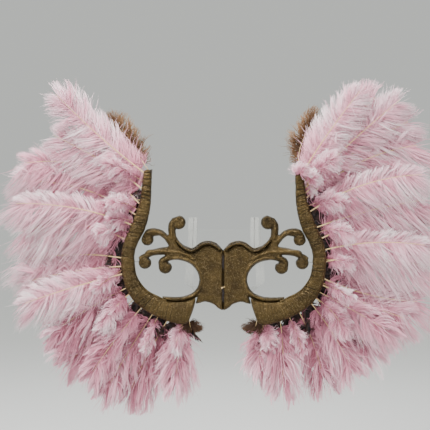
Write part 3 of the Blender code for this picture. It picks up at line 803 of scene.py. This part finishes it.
def add_strap(label, side):
    """The sheer shoulder strap as one gathered ribbon."""
    path = [(row.x, row.y, row.z) for row in STRAP]
    turns = [(row.turn_deg, 0.0) for row in STRAP]
    rings, columns = STRAP_RINGS, STRAP_COLUMNS
    work = bmesh.new()
    rows, length, last = [], 0.0, None
    layer = work.loops.layers.uv.new("UVMap")
    for index in range(rings + 1):
        place = (len(STRAP) - 1) * index / rings
        point = smooth_through(path, place)
        point.y = max(point.y, STRAP_LIFT)
        ahead = smooth_through(path, min(place + 0.05, len(STRAP) - 1))
        behind = smooth_through(path, max(place - 0.05, 0))
        forward = (ahead - behind).normalized()
        turn = math.radians(smooth_through(turns, place).x)
        across = Vector((math.cos(turn), 0.0, math.sin(turn)))
        across = (across - forward * across.dot(forward)).normalized()
        out = forward.cross(across).normalized()
        row = []
        for column in range(columns):
            share = column / (columns - 1) - 0.5
            gather = STRAP_GATHER * math.sin(2 * math.pi * share * STRAP_FOLDS + 0.04 * index)
            spot = point + across * STRAP_WIDTH * share + out * gather
            row.append(work.verts.new((side * spot.x * MM, spot.y * MM, spot.z * MM)))
        if last is not None:
            length += (point - last).length
        last = point
        rows.append(row)
    for index, (near, far) in enumerate(zip(rows, rows[1:])):
        for column in range(columns - 1):
            face = work.faces.new((near[column], near[column + 1], far[column + 1], far[column]))
            for loop, (u, v) in zip(face.loops, ((column, index), (column + 1, index),
                                                 (column + 1, index + 1), (column, index + 1))):
                loop[layer].uv = (u / (columns - 1), v / rings)
    mesh = bpy.data.meshes.new("strap_net_" + label)
    work.to_mesh(mesh)
    work.free()
    mesh.shade_smooth()
    piece = add_mesh_piece("strap_net_" + label, mesh, SHEER, ["strap_" + label])


def add_thread(name, runs, radius, material):
    """Runs of thread as one mesh of thin tubes."""
    curve = bpy.data.curves.new(name, "CURVE")
    curve.dimensions = "3D"
    curve.bevel_depth = radius * MM
    curve.bevel_resolution = 2
    curve.use_fill_caps = True
    for run in runs:
        spline = curve.splines.new("POLY")
        spline.points.add(len(run) - 1)
        for spot, point in zip(spline.points, run):
            spot.co = (point[0] * MM, point[1] * MM, point[2] * MM, 1.0)
    source = bpy.data.objects.new(name, curve)
    bpy.context.scene.collection.objects.link(source)
    mesh = baked(source, name)
    mesh.materials.append(material)
    piece = bpy.data.objects.new(name, mesh)
    bpy.context.scene.collection.objects.link(piece)
    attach(piece, "root")


def add_ties():
    """Dark lacing that draws the two halves together, a pale knot, and the scroll ties."""
    face = -(PANEL_THICK + 0.2)
    runs = []
    for top in LACING_TOPS:
        for index in range(STITCHES):
            z = top - STITCH_PITCH * index
            runs.append([(-6, face + 1.5, z), (-3, face - 0.6, z - 1), (3, face - 0.6, z - 4),
                         (6, face + 1.5, z - 5)])
        runs.append([(0, face - 0.9, top + 2), (0.6, face - 1.2, top - 26),
                     (0, face - 0.9, top - 56)])
    for side in SIDES.values():
        runs.append([(side * 372, -13, -64), (side * 384, -14, -66.5), (side * 397, -16, -66)])
    path = [(row.x, row.y, row.z) for row in STRAP]
    for side in SIDES.values():
        cord = [smooth_through(path, place) for place in np.linspace(0.3, 5.0, 40)]
        runs.append([(side * (spot.x - 3), max(spot.y, STRAP_LIFT) - 1.2, spot.z) for spot in cord])
    add_thread("seam_lacing", runs, 0.75, THREAD)
    knot = [[(-12, face - 0.5, -176), (-5, face - 2.4, -178), (0, face - 3.2, -178),
             (6, face - 2.4, -177), (13, face - 0.5, -180)],
            [(-9, face - 0.8, -186), (-2, face - 3.0, -179), (4, face - 2.6, -175),
             (9, face - 0.8, -170)]]
    add_thread("seam_knot", knot, 1.0, STRAW)


# Materials

def set_inputs(tree, node, inputs):
    """Gives a node's inputs plain values or other nodes' outputs."""
    for key, value in inputs.items():
        if isinstance(value, bpy.types.NodeSocket):
            tree.links.new(value, node.inputs[key])
        else:
            node.inputs[key].default_value = value


def add_node(tree, kind, inputs, **settings):
    node = tree.nodes.new(kind)
    for key, value in settings.items():
        setattr(node, key, value)
    set_inputs(tree, node, inputs)
    return node.outputs


def add_ramp(tree, factor, stops):
    """A colour ramp through stops of (position, colour)."""
    node = tree.nodes.new("ShaderNodeValToRGB")
    set_inputs(tree, node, {"Fac": factor})
    elements = node.color_ramp.elements
    for _ in range(len(stops) - 2):
        elements.new(0.5)
    for element, (position, colour) in zip(elements, stops):
        element.position = position
        element.color = (*colour, 1.0)
    return node.outputs["Color"]


def new_group(name, given, made):
    """A shader node group with named inputs and outputs."""
    tree = bpy.data.node_groups.new(name, "ShaderNodeTree")
    for label, kind in given:
        tree.interface.new_socket(label, in_out="INPUT", socket_type="NodeSocket" + kind)
    for label, kind in made:
        tree.interface.new_socket(label, in_out="OUTPUT", socket_type="NodeSocket" + kind)
    return tree, tree.nodes.new("NodeGroupInput").outputs, tree.nodes.new("NodeGroupOutput")


def drifting_tone_group():
    """A barb's tone, drifting a little from place to place."""
    tree, given, result = new_group("drifting_tone", [
        ("Tone", "Float"), ("Scale", "Float"), ("Drift", "Float")], [("Tone", "Float")])
    place = add_node(tree, "ShaderNodeTexCoord", {})["Object"]
    noise_value = add_node(tree, "ShaderNodeTexNoise", {
        "Vector": place, "Scale": given["Scale"], "Detail": 3.0})["Fac"]
    middle = add_node(tree, "ShaderNodeMath", {0: noise_value, 1: 0.5}, operation="SUBTRACT")
    moved = add_node(tree, "ShaderNodeMath", {0: middle[0], 1: given["Drift"], 2: given["Tone"]},
                     operation="MULTIPLY_ADD")
    set_inputs(tree, result, {"Tone": moved[0]})
    return tree


def fine_grain_group():
    """A fine grain between a dark and a light colour, and its height."""
    tree, given, result = new_group("fine_grain", [
        ("Scale", "Float"), ("Dark", "Color"), ("Light", "Color")],
        [("Colour", "Color"), ("Height", "Float")])
    place = add_node(tree, "ShaderNodeTexCoord", {})["Object"]
    grain = add_node(tree, "ShaderNodeTexNoise", {"Vector": place, "Scale": given["Scale"]})["Fac"]
    mixed = add_node(tree, "ShaderNodeMix", {
        "Factor": grain, "A": given["Dark"], "B": given["Light"]}, data_type="RGBA")
    set_inputs(tree, result, {"Colour": mixed["Result"], "Height": grain})
    return tree


def new_material(name):
    material = bpy.data.materials.new(name)
    material.use_nodes = True
    tree = material.node_tree
    return material, tree, tree.nodes["Principled BSDF"]


def feather_material(name, stops, roughness, sheen):
    """Barbs: colour runs along each barb by its tone and drifts over the plume."""
    material, tree, shader = new_material(name)
    tone = add_node(tree, "ShaderNodeAttribute", {}, attribute_name="tone")["Fac"]
    drifting = add_node(tree, "ShaderNodeGroup", {"Tone": tone, "Scale": 14.0, "Drift": 0.5},
                        node_tree=DRIFTING_TONE)["Tone"]
    set_inputs(tree, shader, {
        "Base Color": add_ramp(tree, drifting, stops), "Roughness": roughness,
        "Specular IOR Level": 0.25, "Sheen Weight": sheen, "Sheen Roughness": 0.5})
    return material


def gold_material():
    """Crinkled antique gold cloth with glitter, with painted highlights where its folds stand up
    and painted shade in its creases.
    """
    material, tree, shader = new_material("gold_cloth_look")
    place = add_node(tree, "ShaderNodeTexCoord", {})["Object"]
    patches = add_node(tree, "ShaderNodeTexNoise", {
        "Vector": place, "Scale": 12.0, "Detail": 3.0, "Roughness": 0.65})["Fac"]
    gold = add_ramp(tree, patches, [(0.32, (0.023, 0.0145, 0.0045)),
                                    (0.70, (0.060, 0.039, 0.0125))])
    flakes = add_node(tree, "ShaderNodeTexVoronoi", {"Vector": place, "Scale": 700.0})["Color"]
    flake = add_node(tree, "ShaderNodeSeparateColor", {0: flakes})
    bright = add_node(tree, "ShaderNodeMapRange", {
        "Value": flake[0], "From Min": 0.90, "From Max": 1.0})
    glittering = add_node(tree, "ShaderNodeMix", {
        "Factor": bright[0], "A": gold, "B": (0.24, 0.18, 0.095, 1)}, data_type="RGBA")["Result"]
    # Painted light and shade: the fold value darkens the colour in creases and lightens it on
    # ridges.
    fold = add_node(tree, "ShaderNodeAttribute", {}, attribute_name="fold")["Fac"]
    fold_light_and_shade = add_node(tree, "ShaderNodeMapRange", {
        "Value": fold, "From Min": -0.8, "From Max": 0.9, "To Min": 0.50, "To Max": 1.9})
    shaded = add_node(tree, "ShaderNodeVectorMath", {0: glittering, "Scale": fold_light_and_shade[0]},
                      operation="SCALE")
    rough = add_node(tree, "ShaderNodeMapRange", {
        "Value": flake[1], "To Min": 0.28, "To Max": 0.46})
    crinkle = add_node(tree, "ShaderNodeTexNoise", {
        "Vector": place, "Scale": 95.0, "Detail": 5.0, "Distortion": 1.4})["Fac"]
    height = add_node(tree, "ShaderNodeMath", {0: flake[2], 1: 0.10, 2: crinkle},
                      operation="MULTIPLY_ADD")
    bump = add_node(tree, "ShaderNodeBump", {
        "Height": height[0], "Strength": 0.9, "Distance": 0.005})
    set_inputs(tree, shader, {"Base Color": shaded[0], "Roughness": rough[0], "Metallic": 0.82,
                              "Normal": bump["Normal"]})
    return material


def plain_material(name, colour, roughness, scale, depth):
    """A quiet material with a fine grain in its colour and surface."""
    material, tree, shader = new_material(name)
    grain = add_node(tree, "ShaderNodeGroup", {
        "Scale": scale, "Dark": (*[0.65 * value for value in colour], 1),
        "Light": (*[min(1.0, 1.3 * value) for value in colour], 1)}, node_tree=FINE_GRAIN)
    bump = add_node(tree, "ShaderNodeBump", {
        "Height": grain["Height"], "Strength": 0.5, "Distance": depth})
    set_inputs(tree, shader, {"Base Color": grain["Colour"], "Roughness": roughness,
                              "Normal": bump["Normal"]})
    return material


def sheer_material():
    """Sheer net: mostly see-through, with lengthwise threads."""
    material, tree, shader = new_material("sheer_net_look")
    uv = add_node(tree, "ShaderNodeUVMap", {}, uv_map="UVMap")["UV"]
    split = add_node(tree, "ShaderNodeSeparateXYZ", {0: uv})
    wave = add_node(tree, "ShaderNodeMath", {0: split["X"], 1: 40.0}, operation="MULTIPLY")
    sine = add_node(tree, "ShaderNodeMath", {0: wave[0]}, operation="SINE")
    alpha = add_node(tree, "ShaderNodeMapRange", {
        "Value": sine[0], "From Min": -1.0, "To Min": 0.10, "To Max": 0.42})
    set_inputs(tree, shader, {"Base Color": (0.55, 0.56, 0.52, 1), "Roughness": 0.5,
                              "Alpha": alpha[0]})
    return material


# Stage

FLOOR_SIZE, FLOOR_Z = 160.0, -1.25
CAMERA_TARGET, CAMERA_DISTANCE, CAMERA_TURN_DEG = (-0.037, 0.0, 0.142), 3.8, 3.0
SENSOR_WIDTH, SEEN_WIDTH = 36.0, 1.9135


def add_stage():
    bpy.ops.mesh.primitive_plane_add(size=FLOOR_SIZE, location=(0, 0, FLOOR_Z))
    floor = bpy.context.object
    floor.name = "floor"
    floor.data.materials.append(
        plain_material("floor_look", (0.80, 0.81, 0.785), 0.9, 400.0, 0.0002))


def add_camera():
    camera_data = bpy.data.cameras.new("camera")
    camera = bpy.data.objects.new("camera", camera_data)
    bpy.context.scene.collection.objects.link(camera)
    azimuth = math.radians(CAMERA_TURN_DEG)
    back = Vector((math.sin(azimuth), -math.cos(azimuth), 0.0))
    camera.location = Vector(CAMERA_TARGET) + back * CAMERA_DISTANCE
    camera.rotation_euler = (-back).to_track_quat("-Z", "Y").to_euler()
    camera_data.sensor_width = SENSOR_WIDTH
    camera_data.lens = SENSOR_WIDTH * CAMERA_DISTANCE / SEEN_WIDTH
    bpy.context.scene.camera = camera


def add_light(name, location, size, power, colour):
    data = bpy.data.lights.new(name, "AREA")
    data.size = size
    data.energy = power
    data.color = colour
    light = bpy.data.objects.new(name, data)
    light.location = location
    aim = Vector((0, 0, 0)) - Vector(location)
    light.rotation_euler = aim.to_track_quat("-Z", "Y").to_euler()
    bpy.context.scene.collection.objects.link(light)


def add_lights():
    add_light("top_light", (-0.8, -1.5, 3.2), 1.5, 210.0, (1.0, 0.98, 0.96))
    add_light("left_light", (-3.0, -1.9, 1.4), 1.5, 95.0, (1.0, 0.99, 0.98))
    add_light("right_light", (2.8, -2.4, 1.0), 1.9, 60.0, (1.0, 0.98, 0.97))
    add_light("rear_light", (0.0, 2.8, 2.2), 2.6, 40.0, (0.96, 0.98, 1.0))
    add_room()


def add_room():
    """An even pale backdrop; the light it gives is stronger from above than from the front."""
    world = bpy.data.worlds.new("room")
    world.use_nodes = True
    tree = world.node_tree
    direction = add_node(tree, "ShaderNodeTexCoord", {})["Generated"]
    split = add_node(tree, "ShaderNodeSeparateXYZ", {0: direction})
    height = add_node(tree, "ShaderNodeMapRange", {
        "Value": split["Z"], "From Min": -0.2, "From Max": 0.9, "To Min": 0.30, "To Max": 0.95})
    seen_directly = add_node(tree, "ShaderNodeLightPath", {})["Is Camera Ray"]
    strength = add_node(tree, "ShaderNodeMix", {
        "Factor": seen_directly, "A": height[0], "B": 0.60})["Result"]
    set_inputs(tree, tree.nodes["Background"], {
        "Strength": strength, "Color": (0.97, 1.0, 0.96, 1)})
    bpy.context.scene.world = world


DRIFTING_TONE = drifting_tone_group()
FINE_GRAIN = fine_grain_group()
PINK = feather_material("pink_barbs_look", [
    (0.00, (0.33, 0.10, 0.14)), (0.30, (0.62, 0.23, 0.32)), (0.58, (0.84, 0.43, 0.53)),
    (0.84, (0.92, 0.64, 0.71)), (1.00, (0.95, 0.80, 0.83))], 0.75, 0.2)
BRONZE = feather_material("bronze_barbs_look", [
    (0.0, (0.05, 0.022, 0.01)), (0.6, (0.16, 0.075, 0.028)), (1.0, (0.30, 0.16, 0.07))], 0.6, 0.1)
COQUE = feather_material("coque_barbs_look", [
    (0.0, (0.008, 0.006, 0.007)), (0.5, (0.030, 0.016, 0.015)), (1.0, (0.10, 0.045, 0.035))],
    0.35, 0.0)
STRAW = plain_material("straw_quill_look", (0.80, 0.56, 0.27), 0.45, 90.0, 0.0003)
GOLD = gold_material()
TAPE = plain_material("tape_look", (0.045, 0.032, 0.025), 0.85, 700.0, 0.0006)
THREAD = plain_material("thread_look", (0.035, 0.028, 0.035), 0.7, 900.0, 0.0003)
SHEER = sheer_material()

add_camera()
for label, side in SIDES.items():
    plumes = LEFT_PLUMES if side < 0 else RIGHT_PLUMES
    fluffs = LEFT_FLUFFS if side < 0 else RIGHT_FLUFFS
    bronze = LEFT_BRONZE if side < 0 else RIGHT_BRONZE
    add_frame_half(label, side)
    add_band(label, side)
    add_strap(label, side)
    add_pink_feathers(plumes, side, "plume", True)
    add_pink_feathers(fluffs, side, "fluff", True)
    add_bronze_feathers(bronze, side)
    add_pink_feathers(FILLERS[label], side, "rear", False)
    add_pink_feathers(WISPS[label], side, "wisp", False)
    add_coque_row(label, side, plumes + fluffs + bronze)
    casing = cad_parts["casing_" + label]
    casing.material_slots[0].material = TAPE
add_ties()
add_stage()
add_lights()
